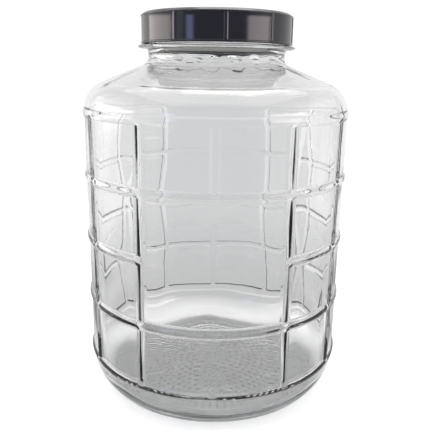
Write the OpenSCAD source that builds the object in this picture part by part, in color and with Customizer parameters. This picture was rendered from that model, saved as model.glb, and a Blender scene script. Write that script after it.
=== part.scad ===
// Wide-mouth glass carboy with a screw cap and a sealing liner.
// Millimetres, +Z up. The origin is the centre of the ring that the carboy stands on, and -Y is the
// front, where the relief leaves a plain panel for a label.

/* [Body] */
// Radius over the raised rings
ring_r = 143; // [138:0.5:148]
// Height that a ring stands out from the wall
relief = 2; // [1:0.25:2.5]
// Width of a ring or a rib
relief_w = 9; // [7:0.5:11]
// Height of the lowest ring
first_ring_z = 45; // [43:0.5:50]
// Distance from one ring to the next
ring_pitch = 66; // [60:0.5:66]
// Number of rings
ring_count = 5; // [4:1:5]
// Number of upright ribs
rib_count = 12; // [8:4:16]
// Thickness of the glass
wall = 5; // [4:0.25:6]

/* [Base] */
// Outer radius of the flat ring that the carboy stands on
bearing_r = 113; // [108:0.5:116]
// Width of that ring
bearing_w = 8; // [5:0.5:12]
// Height of the hollow under the base, at its centre
push_up = 7; // [4:0.5:9]
// Thickness of the base at its centre
base_t = 8; // [6:0.5:10]

/* [Shoulder and neck] */
// Radius of the bend from the wall to the shoulder
shoulder_bend = 30; // [24:0.5:34]
// Fall of the shoulder, in degrees below level
shoulder_fall = 22; // [18:0.5:26]
// Radius of the neck
neck_r = 72.5; // [68:0.5:74]
// Radius of the bend from the shoulder to the neck
neck_bend = 10; // [8:0.5:14]
// Radius of the bead below the cap
bead_r = 83.5; // [80:0.5:84]
// Height of the bead
bead_h = 4.5; // [4:0.25:6]

/* [Threaded mouth] */
// Radius of the mouth's outside, between its threads
finish_r = 73.5; // [73:0.25:73.5]
// Height from the bead to the rim
finish_h = 26.2; // [26:0.1:32]
// Radius over the threads of the glass
glass_thread_r = 76.4; // [75.8:0.1:76.6]
// Number of thread starts
thread_starts = 4; // [3:1:4]
// Rise of the thread in one turn
thread_lead = 24; // [22:0.5:26]
// Turn that each thread covers, in degrees
thread_sweep = 198; // [150:6:210]

/* [Cap] */
// Radius over the grip ribs and the bottom lip
cap_r = 80.5; // [80.2:0.1:82]
// Depth of the panels between the grip ribs
panel_depth = 0.9; // [0.6:0.1:1.1]
// Number of grip ribs
grip_count = 10; // [8:1:20]
// Width of a grip rib
grip_w = 3.6; // [3:0.2:5]
// Thickness of the cap's top
cap_top = 2.8; // [2:0.1:4]
// Inner radius of the skirt
skirt_in_r = 77.9; // [77.4:0.1:78.2]
// Radius inside the threads of the cap
cap_thread_r = 74.6; // [74.2:0.1:75]

/* [Liner] */
// Radius of the liner
liner_r = 76.5; // [75:0.25:77]
// Thickness of the liner
liner_t = 2; // [1.5:0.1:3]

/* [Hidden] */
$fn = 128;

wall_r = ring_r - relief;
rib_lower = 0.4;                         // the ribs stop this far short of the rings
relief_buried = 1;                       // depth of a ring or rib inside the wall
label_half = 360 / rib_count;            // half of the label panel, in degrees round the body
top_ring_z = first_ring_z + (ring_count - 1) * ring_pitch;
heel_z = first_ring_z - 7;
heel_power = 1.6;                        // 2 is an ellipse, and less cuts the corner more
shoulder_z = top_ring_z + 2;
shoulder_c = wall_r - shoulder_bend;
steep = 90 - shoulder_fall;
neck_c = neck_r + neck_bend;
neck_z = shoulder_z
    + (shoulder_bend + neck_bend + (shoulder_c - neck_c) * cos(steep)) / sin(steep);
bead_z = neck_z + 7.5 + bead_h / 2;
bead_top_z = bead_z + bead_h / 2;
rim_z = bead_top_z + finish_h;
rim_bend = 1.8;
mouth_r = neck_r - wall;
inner_heel_z = 50;
inner_heel_w = 36;
inner_heel_h = 40;
floor_edge_r = wall_r - wall - inner_heel_w;
floor_edge_z = inner_heel_z - inner_heel_h;

liner_gap = 0.1;                         // below and above the liner, with the cap closed
liner_z = rim_z + liner_gap;
ceiling_z = liner_z + liner_t + liner_gap;
cap_top_z = ceiling_z + cap_top;
cap_bottom_z = bead_top_z + 0.5;
cap_edge = 2.5;                          // bend round the top edge of the cap
lip_h = 2.3;
top_band_h = 3.5;
first_grip = 6;                          // degrees from the front to the nearest grip rib

thread_pitch = thread_lead / thread_starts;
thread_z = bead_top_z + 5.5;               // middle of a glass thread where it starts
thread_step = 6;
thread_fade = 18;                        // degrees over which a thread rises at each end
crest_w = 1.6;
root_w = 3.2;
thread_buried = 0.7;

// Points along an elliptical arc, from angle a to angle b
function arc(x, z, rx, rz, a, b, n) =
    [for (i = [0:n]) let (t = a + (b - a) * i / n) [x + rx * cos(t), z + rz * sin(t)]];

// Points on the heel of the outside, from the bearing ring up to the wall
function heel(n) = [for (i = [0:n])
    let (t = 90 * i / n, w = wall_r - bearing_r)
    [bearing_r + w * pow(sin(t), 2 / heel_power), heel_z * (1 - pow(cos(t), 2 / heel_power))]];

// Points on a low dome of radius r, from its centre at height z + h to its edge at height z
function dome(r, z, h, n) = [for (i = [0:n]) [r * i / n, z + h * (1 - pow(i / n, 2))]];

function reversed(list) = [for (i = [len(list) - 1:-1:0]) list[i]];

// Outside of the glass, from the centre of the base to the rim
function glass_outside() = concat(
    dome(bearing_r - bearing_w, 0, push_up, 6),
    heel(12),
    arc(shoulder_c, shoulder_z, shoulder_bend, shoulder_bend, 0, steep, 10),
    reversed(arc(neck_c, neck_z, neck_bend, neck_bend, 180, 180 + steep, 6)),
    arc(finish_r, bead_z, bead_r - finish_r, bead_h / 2, -90, 90, 10),
    arc(finish_r - rim_bend, rim_z - rim_bend, rim_bend, rim_bend, 0, 90, 4)
);

// Inside of the glass, from the centre of the floor to the rim
function glass_inside() = concat(
    dome(floor_edge_r, floor_edge_z, push_up + base_t - floor_edge_z, 6),
    arc(floor_edge_r, inner_heel_z, inner_heel_w, inner_heel_h, -84, 0, 8),
    arc(shoulder_c, shoulder_z, shoulder_bend - wall, shoulder_bend - wall, 0, steep, 8),
    reversed(arc(neck_c, neck_z, neck_bend + wall, neck_bend + wall, 180, 180 + steep, 6)),
    reversed(arc(mouth_r + rim_bend, rim_z - rim_bend, rim_bend, rim_bend, 90, 180, 4))
);

// Rounded section of a ring or rib whose crest is at x = crest
module relief_section(crest) {
    bend = (pow(relief_w / 2, 2) + pow(relief, 2)) / (2 * relief);
    intersection() {
        translate([crest - bend, 0]) circle(r = bend);
        translate([wall_r - relief_buried, -relief_w]) square([relief + relief_buried, 2 * relief_w]);
    }
}

// A ring round the body, left out for gap degrees on each side of the front
module ring(z, gap) {
    translate([0, 0, z]) rotate([0, 0, gap - 90])
        rotate_extrude(angle = 360 - 2 * gap) relief_section(ring_r);
}

// An upright rib, turn degrees round from the front
module rib(turn, z0, z1) {
    rotate([0, 0, turn - 90]) translate([0, 0, z0])
        linear_extrude(height = z1 - z0) relief_section(ring_r - rib_lower);
}

// Rings and ribs, with the label panel left plain between the ribs beside the front
module body_relief() {
    for (i = [0:ring_count - 1]) {
        in_panel = i > 1 && i < ring_count - 2;
        ring(first_ring_z + i * ring_pitch, in_panel ? label_half : 0);
    }
    for (i = [1:rib_count - 1])
        rib(i * 360 / rib_count, first_ring_z, top_ring_z);
    rib(0, first_ring_z, first_ring_z + ring_pitch);
    rib(0, top_ring_z - ring_pitch, top_ring_z);
}

// One thread: a ridge that climbs round the axis. In and out are its inner and outer radius, and
// each has its own width. The ridge fades into the radius called root at both ends.
module thread(r_in, w_in, r_out, w_out, root, z) {
    steps = thread_sweep / thread_step;
    outward = root < (r_in + r_out) / 2;
    function rise(t) = min(1, min(t, thread_sweep - t) / thread_fade);
    points = [for (i = [0:steps])
        let (t = i * thread_step, h = rise(t), zc = z + thread_lead * t / 360)
        let (a = outward ? r_in : root + (r_in - root) * h)
        let (b = outward ? root + (r_out - root) * h : r_out)
        for (p = [[a, -w_in / 2], [b, -w_out / 2], [b, w_out / 2], [a, w_in / 2]])
            [p[0] * cos(t), p[0] * sin(t), zc + p[1]]];
    sides = [for (i = [0:steps - 1], j = [0:3])
        let (k = (j + 1) % 4)
        [4 * i + j, 4 * i + k, 4 * (i + 1) + k, 4 * (i + 1) + j]];
    ends = [[3, 2, 1, 0], [for (j = [0:3]) 4 * steps + j]];
    polyhedron(points, concat(sides, ends), convexity = 4);
}

module glass_carboy() {
    color([0.82, 0.87, 0.86]) {
        rotate_extrude() polygon(concat(glass_outside(), reversed(glass_inside())));
        body_relief();
        for (i = [0:thread_starts - 1])
            rotate([0, 0, i * 360 / thread_starts])
                thread(finish_r - thread_buried, root_w, glass_thread_r, crest_w,
                       finish_r - thread_buried / 2, thread_z);
    }
}

// Half section of the cap's shell
module cap_section() {
    panel_r = cap_r - panel_depth;
    polygon(concat(
        [[0, ceiling_z], [skirt_in_r, ceiling_z], [skirt_in_r, cap_bottom_z]],
        arc(cap_r - 0.6, cap_bottom_z + 0.6, 0.6, 0.6, -90, 0, 3),
        [[cap_r, cap_bottom_z + lip_h - panel_depth], [panel_r, cap_bottom_z + lip_h]],
        [[panel_r, cap_top_z - top_band_h], [cap_r - 0.3, cap_top_z - top_band_h + 0.8]],
        arc(cap_r - 0.3 - cap_edge, cap_top_z - cap_edge, cap_edge, cap_edge, 0, 90, 5),
        [[0, cap_top_z]]
    ));
}

module grip_ribs() {
    for (i = [0:grip_count - 1])
        rotate([0, 0, first_grip + i * 360 / grip_count - 90])
            translate([cap_r - 0.1 - grip_w / 2, 0, cap_bottom_z + 1])
                cylinder(d = grip_w, h = cap_top_z - cap_bottom_z - cap_edge - 1, $fn = 32);
}

module screw_cap() {
    color([0.09, 0.07, 0.10]) {
        rotate_extrude() cap_section();
        difference() {
            grip_ribs();
            translate([0, 0, cap_bottom_z]) cylinder(r = skirt_in_r + 0.5, h = 60);
        }
        for (i = [0:thread_starts - 1])
            rotate([0, 0, i * 360 / thread_starts])
                thread(cap_thread_r, crest_w, skirt_in_r + thread_buried, root_w,
                       skirt_in_r + thread_buried / 2, thread_z - thread_pitch / 2);
    }
}

module cap_liner() {
    color([0.93, 0.92, 0.88])
        translate([0, 0, liner_z]) cylinder(r = liner_r, h = liner_t);
}

glass_carboy();
screw_cap();
cap_liner();
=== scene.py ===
"""Looks of the wide-mouth glass carboy: the moulded glass, the dark screw cap and its foam liner.

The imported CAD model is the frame. Each CAD node is replaced by a finer closed mesh of the same
size, built from a profile turned round the Z axis. Profile values are in millimetres and angles in
degrees. Angles run anticlockwise seen from above, from +X, so the front of the carboy is at -90.
"""
import math

import bpy
import numpy as np
from mathutils import Matrix, Vector


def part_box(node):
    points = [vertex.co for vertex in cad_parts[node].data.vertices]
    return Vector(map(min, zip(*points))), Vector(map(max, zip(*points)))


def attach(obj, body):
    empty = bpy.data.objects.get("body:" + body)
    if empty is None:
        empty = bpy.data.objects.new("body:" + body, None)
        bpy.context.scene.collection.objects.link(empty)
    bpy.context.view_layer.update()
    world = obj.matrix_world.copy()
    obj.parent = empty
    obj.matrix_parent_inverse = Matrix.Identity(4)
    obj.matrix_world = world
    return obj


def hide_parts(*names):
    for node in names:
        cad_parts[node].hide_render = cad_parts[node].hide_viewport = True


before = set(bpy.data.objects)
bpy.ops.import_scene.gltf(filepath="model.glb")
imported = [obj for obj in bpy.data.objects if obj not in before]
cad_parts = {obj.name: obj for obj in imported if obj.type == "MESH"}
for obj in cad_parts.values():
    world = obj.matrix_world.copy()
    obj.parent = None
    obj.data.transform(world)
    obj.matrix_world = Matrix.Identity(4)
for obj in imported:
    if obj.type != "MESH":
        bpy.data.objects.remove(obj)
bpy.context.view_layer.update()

MM = 0.001
FRONT = -90.0


# ---------------------------------------------------------------- sizes, from the CAD frame

def node_mm(name):
    """A CAD node's lowest and highest corner in millimetres."""
    low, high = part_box(name)
    return np.array(low) / MM, np.array(high) / MM


_, glass_high = node_mm("glass_carboy")
cap_low, cap_high = node_mm("screw_cap")
liner_low, liner_high = node_mm("cap_liner")

RING_R = glass_high[0]                  # over the raised rings
RIM_Z = glass_high[2]
CAP_BOTTOM, CAP_TOP = cap_low[2], cap_high[2]
LINER_BOTTOM, LINER_TOP = liner_low[2], liner_high[2]
LINER_R = liner_high[0]

# Body
RELIEF = 2.0                            # height of the rings and ribs
WALL_R = RING_R - RELIEF
WALL = 5.0
RING_COUNT = 5
FIRST_RING = 45.0
RING_PITCH = 66.0
RINGS = [FIRST_RING + i * RING_PITCH for i in range(RING_COUNT)]
RIB_COUNT = 12
RIB_STEP = 360.0 / RIB_COUNT
RELIEF_HALF = 4.7                       # half the width of a ring or rib
GROOVE = 1.65                           # depth of the grooves inside, behind the rings
RIB_PART = 0.90                         # depth of the grooves behind the ribs, as a part of that
RING_GROOVE = 4.8                       # half the width of the groove behind a ring
RIB_GROOVE = 6.4                        # half the width of the groove behind a rib
WAVE = 0.28                             # depth of the inside's long waves
FINE_WAVE = 0.03                        # depth of its short waves
FOLD = 0.30                             # depth of the ripples where the shoulder meets the neck

# Base and heel
BEARING_R = 113.0                       # outside of the ring that the carboy stands on
BEARING_W = 8.0
BEARING_RIDGES = 120
RIDGE_H = 0.35
PUSH_UP = 7.0                           # height of the low dome under the base
BASE_T = 8.0
DOT_PITCH = 7.5                         # between the rings of dots, and between dots in a ring
DOT_RINGS = range(2, 13)                # their radii, in pitches
DOT_H = 0.8
DOT_PLACES = np.array([-2.0, -1.1, 0.0, 1.1, 2.0])
DOT_SHAPE = np.array([0.0, 0.6, 1.0, 0.6, 0.0])
HEEL_Z = FIRST_RING - 7                 # where the heel meets the wall
HEEL_POWER = 1.6                        # 2 is an ellipse, and less cuts the corner more
FLOOR_CENTRE = PUSH_UP + BASE_T         # height of the floor inside, in the middle
INNER_HEEL_H = 26.0
INNER_HEEL_W = 20.0
INNER_HEEL_TOP = 36.0

# Shoulder, neck and mouth
SHOULDER_Z = RINGS[-1] + 2
SHOULDER_BEND = 30.0
SHOULDER_C = WALL_R - SHOULDER_BEND     # radius of the bend's centre
STEEP = 68.0                            # how far the shoulder turns, in degrees
NECK_R = 72.5
NECK_BEND = 10.0
NECK_C = NECK_R + NECK_BEND
NECK_Z = SHOULDER_Z + (
    SHOULDER_BEND + NECK_BEND + (SHOULDER_C - NECK_C) * math.cos(math.radians(STEEP))
) / math.sin(math.radians(STEEP))
BEAD_H = 4.5
BEAD_Z = NECK_Z + 7.5 + BEAD_H / 2
BEAD_R = 83.5
FINISH_R = 73.5
RIM_BEND = 1.8
MOUTH_R = NECK_R - WALL

# Thread
THREAD_STARTS = 4
THREAD_LEAD = 24.0
THREAD_SWEEP = 198.0
THREAD_FADE = 18.0
THREAD_HALF = 0.9                       # half the height of a ridge
THREAD_Z = BEAD_Z + BEAD_H / 2 + 5.5
GLASS_THREAD_R = 76.4
CAP_THREAD_R = 74.6

# Cap
CAP_R = 80.5
SKIRT_R = 77.9
LIP_H = 2.3                             # plain band at the bottom
TOP_BAND_H = 3.6                        # plain band at the top
PANEL_R = CAP_R - 0.9                   # between the grip ribs
GRIP_COUNT = 10
FIRST_GRIP = FRONT + 6
GRIP_HALF = 1.9                         # half the width of a grip rib
GRIP_H = 0.75
DISC_DEPTH = 0.8                        # of the sunken disc on top
CEILING = LINER_TOP + 0.1


# ---------------------------------------------------------------- meshes turned round the Z axis

class Skin:
    """A closed surface made of loops round the Z axis. Loops that follow each other may have
    different numbers of points. It starts and ends at a point on the axis."""

    def __init__(self):
        self.points, self.faces, self.last = [], [], None
        self.count = 0

    def add(self, xyz):
        self.points.append(np.atleast_2d(xyz))
        first = self.count
        self.count += len(self.points[-1])
        return first

    def pole(self, z):
        """Starts or ends the surface at height z on the axis."""
        tip = self.add([0, 0, z])
        if self.last is None:
            self.last = (tip, None)
            return
        first, turns = self.last
        n = len(turns)
        self.faces += [(first + j, first + (j + 1) % n, tip) for j in range(n)]

    def loop(self, turns, radius, z):
        """Adds a loop at these angles, with a radius and a height for all or for each of them.
        The angles rise. The loop is made to start beside the start of the one before."""
        before, old = self.last
        turns = np.asarray(turns, float)
        r, z = np.broadcast_to(radius, turns.shape), np.broadcast_to(z, turns.shape)
        if old is not None:
            start = int(np.argmin(np.abs(apart(turns, old[0]))))
            turns, r, z = (np.roll(v, -start) for v in (turns, r, z))
            turns = old[0] + apart(turns[0], old[0]) + (turns - turns[0]) % 360
        a = np.radians(turns)
        first, n = self.add(np.stack([r * np.cos(a), r * np.sin(a), z], 1)), len(turns)
        if old is None:
            self.faces += [(before, first + (j + 1) % n, first + j) for j in range(n)]
        elif len(old) == n and np.allclose(old, turns):
            self.faces += [
                (before + j, before + (j + 1) % n, first + (j + 1) % n, first + j)
                for j in range(n)
            ]
        else:
            self.zip(before, old, first, turns)
        self.last = (first, turns)

    def zip(self, before, old, first, new):
        """Joins two loops that have different numbers of points."""
        a, b = np.append(old, old[0] + 360), np.append(new, new[0] + 360)
        i = j = 0
        while i < len(old) or j < len(new):
            if j == len(new) or (i < len(old) and a[i + 1] + a[i] <= b[j + 1] + b[j]):
                self.faces.append((before + i, before + (i + 1) % len(old), first + j % len(new)))
                i += 1
            else:
                near = before + i % len(old)
                self.faces.append((near, first + (j + 1) % len(new), first + j))
                j += 1

    def make(self, name):
        """The surface as a smooth object, in metres. Its faces point outwards when the loops run
        with the solid on their left, seen with the axis on the left and Z up."""
        mesh = bpy.data.meshes.new(name)
        mesh.from_pydata((np.concatenate(self.points) * MM).tolist(), [], self.faces)
        mesh.shade_smooth()
        obj = bpy.data.objects.new(name, mesh)
        bpy.context.scene.collection.objects.link(obj)
        return obj


def arc(x, z, rx, rz, start, end, steps):
    """Points of an elliptical arc, from one angle to another."""
    a = np.radians(np.linspace(start, end, steps + 1))
    return list(zip(x + rx * np.cos(a), z + rz * np.sin(a)))


def smooth(t):
    """0 below 0, 1 above 1 and an even rise between."""
    t = np.clip(t, 0, 1)
    return t * t * (3 - 2 * t)


def apart(a, b):
    """The angle from b to a, between -180 and 180."""
    return (np.asarray(a) - b + 180) % 360 - 180


def clustered(centres, offsets, fill):
    """Angles round a circle: these offsets at each centre, and fill even steps between them."""
    turns = []
    step = 360 / len(centres)
    for c in centres:
        turns += [c + o for o in offsets]
        turns += list(np.linspace(c + offsets[-1], c + step + offsets[0], fill + 1)[1:-1])
    return np.array(turns)


class Ripple:
    """Soft unevenness over the angle and the height, the same at every run."""

    def __init__(self, seed, waves, turns, length):
        rng = np.random.default_rng(seed)
        self.m = rng.integers(turns[0], turns[1] + 1, waves)
        self.k = 2 * math.pi / rng.uniform(length[0], length[1], waves)
        self.k *= rng.choice([-1, 1], waves)
        self.p = rng.uniform(0, 2 * math.pi, waves)

    def __call__(self, turns, z):
        a = np.radians(np.asarray(turns))[..., None]
        z = np.broadcast_to(z, np.shape(turns))[..., None]
        return np.sin(self.m * a + self.k * z + self.p).sum(-1) / math.sqrt(len(self.m))


# ---------------------------------------------------------------- glass

def bump(t):
    """Rounded section with soft feet, 1 in the middle and 0 from t = 1."""
    return np.clip(1 - np.asarray(t, float) ** 2, 0, None) ** 1.5


def arch(t):
    """Section of a ring or rib, 1 in the middle and 0 from t = 1.1, with a crisp foot."""
    drop = 1 - np.asarray(t, float) ** 2
    return np.clip((drop + np.sqrt(drop ** 2 + 0.02) - 0.06) / 1.95, 0, None)


def relief(turns, z, section, ring_half, rib_half, rib_height=1.0):
    """Height of the rings and ribs above the wall, as a part of a ring's height. Halves are half
    their widths. They melt into each other."""
    turns = np.asarray(turns, float)
    ring = np.zeros_like(turns)
    for i, at in enumerate(RINGS):
        shape = section((z - at) / ring_half)
        if 1 < i < RING_COUNT - 2:
            shape = shape * smooth((np.abs(apart(turns, FRONT)) - RIB_STEP) / 1.5 + 0.5)
        ring = np.maximum(ring, shape)
    rib = np.zeros_like(turns)
    for i in range(RIB_COUNT):
        away = np.abs(apart(turns, FRONT + i * RIB_STEP)) * math.pi / 180 * RING_R
        low, high = RINGS[0], RINGS[-1]
        ends = smooth((z - low) / 4 + 0.5) * smooth((high - z) / 4 + 0.5)
        if i == 0:
            ends *= 1 - smooth((z - RINGS[1]) / 4 + 0.3) * smooth((RINGS[-2] - z) / 4 + 0.3)
        rib = np.maximum(rib, section(away / rib_half) * ends)
    return 1 - (1 - ring) * (1 - rib_height * rib)


def thread(turns, z, middle):
    """Height of the threads, from 0 to 1, at these angles and height. The middle of each starts
    at the height given."""
    turns = np.asarray(turns, float)
    found = np.zeros_like(turns)
    for start in range(THREAD_STARTS):
        along = (turns - start * 360 / THREAD_STARTS) % 360
        climb = middle + THREAD_LEAD * along / 360
        shape = smooth((THREAD_HALF + 0.4 - np.abs(z - climb)) / 0.9)
        ends = np.minimum(along, THREAD_SWEEP - along) / THREAD_FADE
        found = np.maximum(found, shape * smooth(ends))
    return found


def stipple(skin):
    """The underside of the base: a low dome with rings of raised dots."""
    skin.pole(PUSH_UP)
    for r in (5.0, 10.0):
        skin.loop(np.arange(60) * 6.0, r, base_dome(r))
    for k in DOT_RINGS:
        dots = round(2 * math.pi * k)
        middles = np.arange(dots)[:, None] + 0.5 * (k % 2)
        turns = (middles + DOT_PLACES / DOT_PITCH).ravel() * 360 / dots
        for place, rise in zip(DOT_PLACES, DOT_SHAPE):
            r = DOT_PITCH * k + place
            drop = DOT_H * rise * np.tile(DOT_SHAPE, dots)
            skin.loop(turns, r, base_dome(r) - drop)
    plain = np.arange(240) * 1.5
    for r in (98.5, 102.0, BEARING_R - BEARING_W - 0.6):
        skin.loop(plain, r, base_dome(r))


def base_dome(r):
    """Height of the base's underside, inside the ring that the carboy stands on."""
    return PUSH_UP * (1 - (r / (BEARING_R - BEARING_W)) ** 2)


def bearing(skin):
    """The ring that the carboy stands on, with short radial ridges."""
    turns = np.arange(BEARING_RIDGES * 4) * 90.0 / BEARING_RIDGES
    ridges = RIDGE_H * np.tile([0.0, 0.5, 1.0, 0.5], BEARING_RIDGES)
    inner, end = BEARING_R - BEARING_W, 1.5
    for r, depth in ((inner, 0), (inner + end, 1), (BEARING_R - end, 1), (BEARING_R, 0)):
        skin.loop(turns, r, depth * ridges)


# Where the points lie across a ring or rib, closest together at its feet
ACROSS = np.array([-6.2, -5.5, -5.1, -4.8, -4.5, -4.1, -3.4, -2.3, -1.2, 0, 1.2, 2.3, 3.4, 4.1, 4.5,
                   4.8, 5.1, 5.5, 6.2])
RIB_OFFSETS = ACROSS / RING_R * 180 / math.pi
BODY_TURNS = clustered([FRONT + i * RIB_STEP for i in range(RIB_COUNT)], RIB_OFFSETS, 7)

# The same across the groove behind it
GROOVE_ACROSS = np.array([-6.6, -5.6, -4.8, -4.0, -3.1, -2.1, -1.0, 0, 1.0, 2.1, 3.1, 4.0, 4.8, 5.6,
                          6.6])
GROOVE_OFFSETS = GROOVE_ACROSS / RING_R * 180 / math.pi
INNER_TURNS = clustered([FRONT + i * RIB_STEP for i in range(RIB_COUNT)], GROOVE_OFFSETS, 6)

# Above the ribs
PLAIN_TURNS = np.arange(144) * 2.5


def wall_heights(across, fill):
    """Heights of the loops up the wall, close together at the rings."""
    heights = []
    for i, at in enumerate(RINGS):
        heights += [at + o for o in across]
        if i < RING_COUNT - 1:
            heights += list(np.linspace(at + across[-1], RINGS[i + 1] + across[0], fill)[1:-1])
    return heights


def profile_radius(z):
    """Radius of the plain outside of the body at this height, from the base to the shoulder."""
    if z < HEEL_Z:
        cut = (1 - z / HEEL_Z) ** HEEL_POWER
        return BEARING_R + (WALL_R - BEARING_R) * (1 - cut) ** (1 / HEEL_POWER)
    if z > SHOULDER_Z:
        return SHOULDER_C + math.sqrt(SHOULDER_BEND ** 2 - (z - SHOULDER_Z) ** 2)
    return WALL_R


def glass_outside(skin):
    """From the ring that the carboy stands on, up to the rim."""
    heights = wall_heights(ACROSS, 5)
    for t in np.linspace(0, 90, 14)[1:]:
        z = HEEL_Z * (1 - math.cos(math.radians(t)) ** (2 / HEEL_POWER))
        skin.loop(BODY_TURNS, profile_radius(z), z)
    for z in heights:
        raised = RELIEF * relief(BODY_TURNS, z, arch, RELIEF_HALF, RELIEF_HALF)
        skin.loop(BODY_TURNS, profile_radius(z) + raised, z)
    start = math.degrees(math.asin((heights[-1] - SHOULDER_Z) / SHOULDER_BEND))
    for r, z in arc(SHOULDER_C, SHOULDER_Z, SHOULDER_BEND, SHOULDER_BEND, start, STEEP, 14)[1:]:
        skin.loop(PLAIN_TURNS, r, z)
    for r, z in arc(NECK_C, NECK_Z, NECK_BEND, NECK_BEND, 180 + STEEP, 180, 9):
        skin.loop(PLAIN_TURNS, r, z)
    finish_outside(skin)


def finish_outside(skin):
    """The bead, the threads and the rim."""
    skin.loop(PLAIN_TURNS, NECK_R + 0.2, NECK_Z + 1.6)
    for r, z in arc(FINISH_R, BEAD_Z, BEAD_R - FINISH_R, BEAD_H / 2, -90, 90, 14):
        skin.loop(PLAIN_TURNS, r, z)
    top = RIM_Z - RIM_BEND
    for z in np.arange(BEAD_Z + BEAD_H / 2 + 0.8, top, 0.9):
        ridge = (GLASS_THREAD_R - FINISH_R) * thread(PLAIN_TURNS, z, THREAD_Z)
        skin.loop(PLAIN_TURNS, FINISH_R + ridge, z)
    for r, z in arc(FINISH_R - RIM_BEND, top, RIM_BEND, RIM_BEND, 0, 90, 5):
        skin.loop(PLAIN_TURNS, r, z)


def inside_profile():
    """Radii and heights of the inside's loops, from the rim down to the floor."""
    plain = WALL_R - WALL
    points = arc(MOUTH_R + RIM_BEND, RIM_Z - RIM_BEND, RIM_BEND, RIM_BEND, 90, 180, 5)
    points += [(MOUTH_R, z) for z in np.linspace(RIM_Z - RIM_BEND, NECK_Z, 6)[1:-1]]
    bend = NECK_BEND + WALL
    points += arc(NECK_C, NECK_Z, bend, bend, 180, 180 + STEEP, 16)
    bend = SHOULDER_BEND - WALL
    heights = wall_heights(GROOVE_ACROSS, 5)[::-1]
    start = math.degrees(math.asin((heights[0] - SHOULDER_Z) / bend))
    points += arc(SHOULDER_C, SHOULDER_Z, bend, bend, STEEP, start, 12)[:-1]
    for z in heights:
        above = z - SHOULDER_Z
        points.append((SHOULDER_C + math.sqrt(bend ** 2 - above ** 2) if above > 0 else plain, z))
    edge, low = plain - INNER_HEEL_W, INNER_HEEL_TOP - INNER_HEEL_H
    for t in np.radians(np.linspace(8, 86, 14)):
        out, down = math.cos(t) ** (2 / HEEL_POWER), math.sin(t) ** (2 / HEEL_POWER)
        points.append((edge + INNER_HEEL_W * out, INNER_HEEL_TOP - 1 - (INNER_HEEL_H - 1) * down))
    dome = FLOOR_CENTRE - low
    return points + [(r, low + dome * (1 - (r / edge) ** 2)) for r in np.linspace(edge, 8, 14)]


def glass_inside(skin):
    """The inside, from the rim down to the floor, with the unevenness of blown glass."""
    ripple = Ripple(11, 16, (2, 16), (40, 160))
    fine = Ripple(12, 14, (14, 34), (18, 60))
    folds = Ripple(13, 18, (3, 22), (3.5, 9))
    turns = INNER_TURNS
    for r, z in inside_profile():
        below_neck = smooth((RIM_Z - 36 - z) / 30)
        at_neck = smooth((z - NECK_Z + 34) / 20) * smooth((NECK_Z + 6 - z) / 6)
        uneven = (WAVE * ripple(turns, z) + FINE_WAVE * fine(turns, z)) * below_neck
        groove = GROOVE * relief(turns, z, bump, RING_GROOVE, RIB_GROOVE, RIB_PART)
        skin.loop(turns, r + groove + (uneven + FOLD * at_neck * folds(turns, z)), z)
    skin.pole(FLOOR_CENTRE)


def make_glass():
    """The glass in one closed mesh: the underside, the outside to the rim, and the inside."""
    skin = Skin()
    stipple(skin)
    bearing(skin)
    glass_outside(skin)
    glass_inside(skin)
    obj = skin.make("glass_body")
    obj.data.materials.append(glass_material())
    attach(obj, "carboy")
    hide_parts("glass_carboy")
    return obj


# ---------------------------------------------------------------- cap

def cap_turns():
    """Angles of the cap's loops, close together at the grip ribs."""
    half = 2.6 / CAP_R * 180 / math.pi
    offsets = np.linspace(-half, half, 13)
    return clustered([FIRST_GRIP + i * 360 / GRIP_COUNT for i in range(GRIP_COUNT)], offsets, 9)


def grip(turns):
    """Height of the grip ribs above the panels, from 0 to 1."""
    found = np.zeros_like(turns)
    for i in range(GRIP_COUNT):
        away = np.abs(apart(turns, FIRST_GRIP + i * 360 / GRIP_COUNT)) * math.pi / 180 * CAP_R
        found = np.maximum(found, np.sqrt(np.clip(1 - (away / GRIP_HALF) ** 2, 0, 1)))
    return found


def cap_side(skin, turns):
    """The bottom lip and the panels with the grip ribs between them."""
    lip_top, panel_top = CAP_BOTTOM + LIP_H, CAP_TOP - TOP_BAND_H
    ribs = GRIP_H * grip(turns)
    for r, z in arc(CAP_R - 0.7, CAP_BOTTOM + 0.7, 0.7, 0.7, -90, 0, 5):
        skin.loop(turns, r, z)
    for r, z in arc(CAP_R - 0.7, lip_top - 0.9, 0.7, 0.7, 0, 70, 5):
        skin.loop(turns, np.maximum(r, PANEL_R), z)
    for z in (lip_top - 0.15, lip_top + 0.1, lip_top + 0.5):
        skin.loop(turns, PANEL_R + ribs * smooth(z - lip_top + 1), z)
    for z in np.linspace(lip_top + 1, panel_top - 0.8, 6):
        skin.loop(turns, PANEL_R + ribs, z)
    for z, rise in ((panel_top - 0.3, 0.15), (panel_top, 0.45), (panel_top + 0.3, 0.6)):
        skin.loop(turns, PANEL_R + np.maximum(ribs, rise), z)


def cap_top(skin, turns):
    """The rounded top edge, a flat rim, and a sunken disc with a small dimple in its middle."""
    for back, down in ((0.0, 2.8), (0.1, 2.5), (0.35, 2.25), (1.2, 1.6), (2.1, 0.9), (2.9, 0.3),
                       (3.3, 0.1), (3.9, 0.0)):
        skin.loop(turns, CAP_R - 0.25 - back, CAP_TOP - down)
    rim_in = CAP_R - 7.0
    for out, down in ((1.2, 0.0), (0.5, 0.1), (0.0, 0.4), (-0.6, 0.7), (-1.4, DISC_DEPTH)):
        skin.loop(turns, rim_in + out, CAP_TOP - down)
    for r in (60.0, 45.0, 30.0, 15.0, 4.0, 3.0):
        skin.loop(turns, r, CAP_TOP - DISC_DEPTH)
    for r, down in ((2.6, 0.95), (1.0, 1.0)):
        skin.loop(turns, r, CAP_TOP - down)
    skin.pole(CAP_TOP - 1.0)


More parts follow.
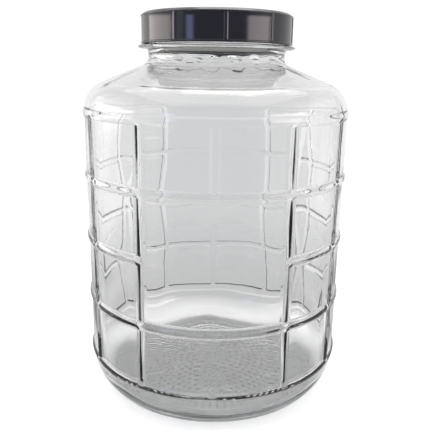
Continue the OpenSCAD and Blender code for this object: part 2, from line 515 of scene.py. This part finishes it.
def cap_inside(skin, turns):
    """The ceiling, and the inside of the skirt with its thread."""
    skin.pole(CEILING)
    for r in (10.0, 40.0, 70.0, SKIRT_R - 1.2):
        skin.loop(turns, r, CEILING)
    for r, z in arc(SKIRT_R - 1.0, CEILING - 1.0, 1.0, 1.0, 80, 0, 4):
        skin.loop(turns, r, z)
    pitch = THREAD_LEAD / THREAD_STARTS
    for z in np.arange(CEILING - 1.8, CAP_BOTTOM + 1.0, -0.75):
        ridge = (SKIRT_R - CAP_THREAD_R) * thread(turns, z, THREAD_Z - pitch / 2)
        skin.loop(turns, SKIRT_R - ridge, z)
    skin.loop(turns, SKIRT_R, CAP_BOTTOM + 0.4)
    skin.loop(turns, SKIRT_R + 0.4, CAP_BOTTOM)


def make_cap():
    """The screw cap in one closed mesh: the inside, the side and the top."""
    skin, turns = Skin(), cap_turns()
    cap_inside(skin, turns)
    cap_side(skin, turns)
    cap_top(skin, turns)
    obj = skin.make("screw_cap_shell")
    obj.data.materials.append(cap_material())
    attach(obj, "cap")
    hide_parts("screw_cap")
    return obj


# ---------------------------------------------------------------- liner

def make_liner():
    """A foam disc, pressed in a little where the glass rim closes on it."""
    skin, turns = Skin(), np.arange(180) * 2.0
    skin.pole(LINER_BOTTOM)
    rim = (MOUTH_R + FINISH_R) / 2
    for r in (20.0, 45.0, 60.0):
        skin.loop(turns, r, LINER_BOTTOM)
    for r in np.linspace(rim - 4, rim + 2.4, 11):
        press = 0.35 * bump((r - rim) / 3.2)
        skin.loop(turns, r, LINER_BOTTOM + press)
    half = (LINER_TOP - LINER_BOTTOM) / 2
    for r, z in arc(LINER_R - 0.5, LINER_BOTTOM + half, 0.5, half, -90, 90, 8):
        skin.loop(turns, r, z)
    for r in (60.0, 30.0):
        skin.loop(turns, r, LINER_TOP)
    skin.pole(LINER_TOP)
    obj = skin.make("foam_liner")
    obj.data.materials.append(liner_material())
    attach(obj, "liner")
    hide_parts("cap_liner")
    return obj


# ---------------------------------------------------------------- materials

class Nodes:
    """A short way to build a node tree."""

    def __init__(self, tree):
        self.tree = tree
        tree.nodes.clear()

    def add(self, kind, values=None, **settings):
        node = self.tree.nodes.new(kind)
        for key, value in settings.items():
            setattr(node, key, value)
        for key, value in (values or {}).items():
            if isinstance(value, bpy.types.NodeSocket):
                self.tree.links.new(value, node.inputs[key])
            else:
                node.inputs[key].default_value = value
        return node

    def math(self, operation, a, b=0.0, c=0.0):
        node = self.add("ShaderNodeMath", {0: a, 1: b, 2: c}, operation=operation)
        return node.outputs[0]

    def span(self, value, low, high, to_low=0.0, to_high=1.0):
        """Turns the range low to high into to_low to to_high, with soft ends."""
        node = self.add(
            "ShaderNodeMapRange",
            {0: value, "From Min": low, "From Max": high, "To Min": to_low, "To Max": to_high},
            interpolation_type="SMOOTHSTEP",
        )
        return node.outputs[0]


def new_material(name):
    material = bpy.data.materials.new(name)
    material.use_nodes = True
    return material, Nodes(material.node_tree)


def glass_material():
    """Clear glass with a trace of grey-green in its depth, a faint film and a fine swirl."""
    material, n = new_material("clear_glass")
    place = n.add("ShaderNodeTexCoord").outputs["Object"]
    swirl = n.add("ShaderNodeTexNoise", {"Vector": place, "Scale": 55.0, "Detail": 1.0})
    bumps = n.add(
        "ShaderNodeBump", {"Height": swirl.outputs["Fac"], "Strength": 0.05, "Distance": 0.001}
    )
    film = n.add("ShaderNodeTexNoise", {"Vector": place, "Scale": 30.0, "Detail": 5.0})
    rough = n.span(film.outputs["Fac"], 0.45, 0.75, 0.0, 0.03)
    surface = n.add("ShaderNodeBsdfPrincipled", {
        "Base Color": (0.962, 0.964, 0.963, 1),
        "Transmission Weight": 1.0,
        "IOR": 1.5,
        "Roughness": rough,
        "Normal": bumps.outputs[0],
    })
    tint = n.add("ShaderNodeVolumeAbsorption", {"Color": (0.56, 0.6, 0.58, 1), "Density": 4.0})
    n.add("ShaderNodeOutputMaterial", {"Surface": surface.outputs[0], "Volume": tint.outputs[0]})
    return material


def cap_material():
    """Glossy near-black plastic with a purple cast, a little uneven as moulded."""
    material, n = new_material("cap_plastic")
    place = n.add("ShaderNodeTexCoord").outputs["Object"]
    flow = n.add("ShaderNodeTexNoise", {"Vector": place, "Scale": 120.0, "Detail": 3.0})
    bumps = n.add(
        "ShaderNodeBump", {"Height": flow.outputs["Fac"], "Strength": 0.08, "Distance": 0.0006}
    )
    cloud = n.add("ShaderNodeTexNoise", {"Vector": place, "Scale": 25.0, "Detail": 4.0})
    shade = n.add("ShaderNodeMix", {
        "Factor": cloud.outputs["Fac"],
        "A": (0.008, 0.006, 0.012, 1),
        "B": (0.013, 0.010, 0.018, 1),
    }, data_type="RGBA")
    rough = n.span(cloud.outputs["Fac"], 0.35, 0.7, 0.06, 0.14)
    surface = n.add("ShaderNodeBsdfPrincipled", {
        "Base Color": shade.outputs["Result"],
        "IOR": 1.52,
        "Roughness": rough,
        "Normal": bumps.outputs[0],
    })
    n.add("ShaderNodeOutputMaterial", {"Surface": surface.outputs[0]})
    return material


def liner_material():
    """Matte off-white foam with fine cells."""
    material, n = new_material("liner_foam")
    place = n.add("ShaderNodeTexCoord").outputs["Object"]
    cells = n.add("ShaderNodeTexVoronoi", {"Vector": place, "Scale": 900.0})
    bumps = n.add(
        "ShaderNodeBump",
        {"Height": cells.outputs["Distance"], "Strength": 0.35, "Distance": 0.0004},
    )
    shade = n.add("ShaderNodeMix", {
        "Factor": cells.outputs["Distance"],
        "A": (0.86, 0.85, 0.8, 1),
        "B": (0.76, 0.75, 0.7, 1),
    }, data_type="RGBA")
    surface = n.add("ShaderNodeBsdfPrincipled", {
        "Base Color": shade.outputs["Result"],
        "Roughness": 0.75,
        "Normal": bumps.outputs[0],
    })
    n.add("ShaderNodeOutputMaterial", {"Surface": surface.outputs[0]})
    return material


# ---------------------------------------------------------------- studio

def direction(azimuth, elevation):
    """A unit vector. Azimuth 0 is behind the carboy, +Y, and 90 is to the right, +X."""
    a, e = math.radians(azimuth), math.radians(elevation)
    return Vector((math.sin(a) * math.cos(e), math.cos(a) * math.cos(e), math.sin(e)))


FRONT_LIGHT = (0.38, 0.40, 0.48)        # the room on the camera's side
BEHIND, BESIDE = 0.74, 0.94             # straight behind the carboy, and further round
MIRRORED_FROM = 45                      # boxes this far round or more show in reflections only
BOXES = [                               # azimuth, elevation, half width and height, power, colour
    (4, 47, 0.36, 0.12, 0.7, (1.0, 1.0, 1.0)),
    (10, 68, 0.26, 0.22, 3.0, (1.0, 0.98, 0.95)),
    (0, 90, 0.85, 0.85, 0.85, (1.0, 1.0, 1.0)),
    (-88, -5, 0.9, 0.6, 0.35, (1.0, 1.0, 1.0)),
    (-84, 6, 0.44, 0.14, 3.4, (1.0, 0.9, 0.88)),
    (116, 6, 0.33, 0.14, 3.8, (1.0, 0.9, 0.88)),
    (-140, 6, 0.09, 0.14, 3.0, (0.5, 0.6, 1.0)),
]


def scaled(n, amount, colour):
    return n.add(
        "ShaderNodeVectorMath", {0: tuple(colour), "Scale": amount}, operation="SCALE"
    ).outputs[0]


def along(n, ray, vector):
    """How far a ray points along a vector, from -1 to 1."""
    return n.add(
        "ShaderNodeVectorMath", {0: ray, 1: tuple(vector)}, operation="DOT_PRODUCT"
    ).outputs["Value"]


def softbox(n, ray, ahead, width, height, edge=0.06):
    """How much of a soft box is in a ray's direction. Width and height are half sizes at a
    distance of 1."""
    right = ahead.cross(Vector((0, 0, 1))).normalized()
    up = right.cross(ahead)
    depth = along(n, ray, ahead)
    safe = n.math("MAXIMUM", depth, 0.001)
    found = n.span(depth, 0.0, 0.05)
    for axis, half in ((right, width), (up, height)):
        offset = n.math("ABSOLUTE", n.math("DIVIDE", along(n, ray, axis), safe))
        inside = n.span(offset, half - edge, half + edge, 1.0, 0.0)
        found = n.math("MULTIPLY", found, inside)
    return found


def surround(n, ray):
    """The light of the room itself: dim on the camera's side, and pale behind."""
    front = n.span(along(n, ray, (0, 1, 0)), -0.75, -0.2, 1.0, 0.0)
    across = n.math("ABSOLUTE", along(n, ray, (1, 0, 0)))
    pale = n.span(across, 0.13, 0.3, BEHIND, BESIDE)
    back = n.math("MULTIPLY", n.math("SUBTRACT", 1.0, front), pale)
    both = {0: scaled(n, front, FRONT_LIGHT), 1: scaled(n, back, (1, 1, 1))}
    return n.add("ShaderNodeVectorMath", both, operation="ADD").outputs[0]


def make_world():
    """A plain studio: pale behind, dim on the camera's side, with soft boxes. The camera itself
    sees plain white where nothing stands."""
    world = bpy.data.worlds.new("studio")
    bpy.context.scene.world = world
    world.use_nodes = True
    n = Nodes(world.node_tree)
    ray = n.add("ShaderNodeTexCoord").outputs["Generated"]
    path = n.add("ShaderNodeLightPath")
    light = surround(n, ray)
    for azimuth, elevation, width, height, power, colour in BOXES:
        box = softbox(n, ray, direction(azimuth, elevation), width, height)
        if abs(azimuth) > MIRRORED_FROM:
            box = n.math("MULTIPLY", box, path.outputs["Is Glossy Ray"])
        shine = scaled(n, n.math("MULTIPLY", box, power), colour)
        light = n.add("ShaderNodeVectorMath", {0: light, 1: shine}, operation="ADD").outputs[0]
    studio = n.add("ShaderNodeBackground", {"Color": light, "Strength": 1.0})
    plain = n.add("ShaderNodeBackground", {"Color": (1, 1, 1, 1), "Strength": 1.05})
    seen = path.outputs["Is Camera Ray"]
    both = n.add("ShaderNodeMixShader", {0: seen, 1: studio.outputs[0], 2: plain.outputs[0]})
    n.add("ShaderNodeOutputWorld", {"Surface": both.outputs[0]})


FLOOR_R = 0.9                           # metres
FLOOR_FADE = (0.3, 0.88)                # between these radii the floor goes clear
PAINTED_LIGHT_UNDER, AROUND = 0.9, 0.46               # how pale it is under the carboy, where a painted pool of light lies, and round it


def floor_material():
    """Plain pale paint, paler under the carboy as a painted pool of light that offsets the carboy's
    shadow where the floor shows through the base. The paint fades out before the floor's edge so
    that none shows through the glass. The camera itself sees it overexposed, as in a product photo."""
    material, n = new_material("white_floor")
    place = n.add("ShaderNodeTexCoord").outputs["Object"]
    away = n.add("ShaderNodeVectorMath", {0: place}, operation="LENGTH").outputs["Value"]
    # Painted light: the paint is paler under the carboy, a painted pool of light that offsets its
    # shadow seen through the base.
    paint = n.add("ShaderNodeBsdfDiffuse", {"Color": n.span(away, 0.13, 0.24, PAINTED_LIGHT_UNDER, AROUND)})
    clear = n.add("ShaderNodeBsdfTransparent")
    fade = n.span(away, *FLOOR_FADE)
    soft = n.add("ShaderNodeMixShader", {0: fade, 1: paint.outputs[0], 2: clear.outputs[0]})
    bright = n.add("ShaderNodeBsdfDiffuse", {"Color": (0.6, 0.6, 0.6, 1)})
    glow = n.add("ShaderNodeEmission", {"Color": (1, 1, 1, 1), "Strength": 0.62})
    lit = n.add("ShaderNodeAddShader", {0: bright.outputs[0], 1: glow.outputs[0]})
    seen = n.add("ShaderNodeLightPath").outputs["Is Camera Ray"]
    both = n.add("ShaderNodeMixShader", {0: seen, 1: soft.outputs[0], 2: lit.outputs[0]})
    n.add("ShaderNodeOutputMaterial", {"Surface": both.outputs[0]})
    return material


def make_floor():
    """A plain round floor, a hair below the carboy."""
    sides = 96
    mesh = bpy.data.meshes.new("floor")
    edge = [2 * math.pi * i / sides for i in range(sides)]
    corners = [(FLOOR_R * math.cos(a), FLOOR_R * math.sin(a), 0) for a in edge]
    mesh.from_pydata(corners, [], [range(sides)])
    floor = bpy.data.objects.new("floor", mesh)
    bpy.context.scene.collection.objects.link(floor)
    floor.location.z = -0.0002
    mesh.materials.append(floor_material())


def make_camera():
    """The view of the photograph: 0.6 m in front of the axis, and level with the foot
    of the neck, looking down."""
    data = bpy.data.cameras.new("camera")
    data.sensor_width = 36.0
    data.lens = 45.65
    data.shift_x, data.shift_y = -0.0077, -0.0203
    data.clip_start, data.clip_end = 0.01, 50.0
    camera = bpy.data.objects.new("camera", data)
    bpy.context.scene.collection.objects.link(camera)
    turn = (
        Matrix.Rotation(math.radians(-0.39), 4, "Z")
        @ Matrix.Rotation(math.radians(90 - 14.17), 4, "X")
        @ Matrix.Rotation(math.radians(0.81), 4, "Z")
    )
    camera.matrix_world = Matrix.Translation((0, -0.606892, 0.353925)) @ turn
    bpy.context.scene.camera = camera


def set_light_paths():
    """Glass behind glass needs more bounces than the usual 12."""
    scene = bpy.context.scene
    scene.view_settings.view_transform = "Standard"
    scene.cycles.max_bounces = 24
    scene.cycles.transmission_bounces = 24
    scene.cycles.glossy_bounces = 8
    scene.cycles.transparent_max_bounces = 16


make_camera()
make_world()
make_floor()
set_light_paths()
make_glass()
make_cap()
make_liner()
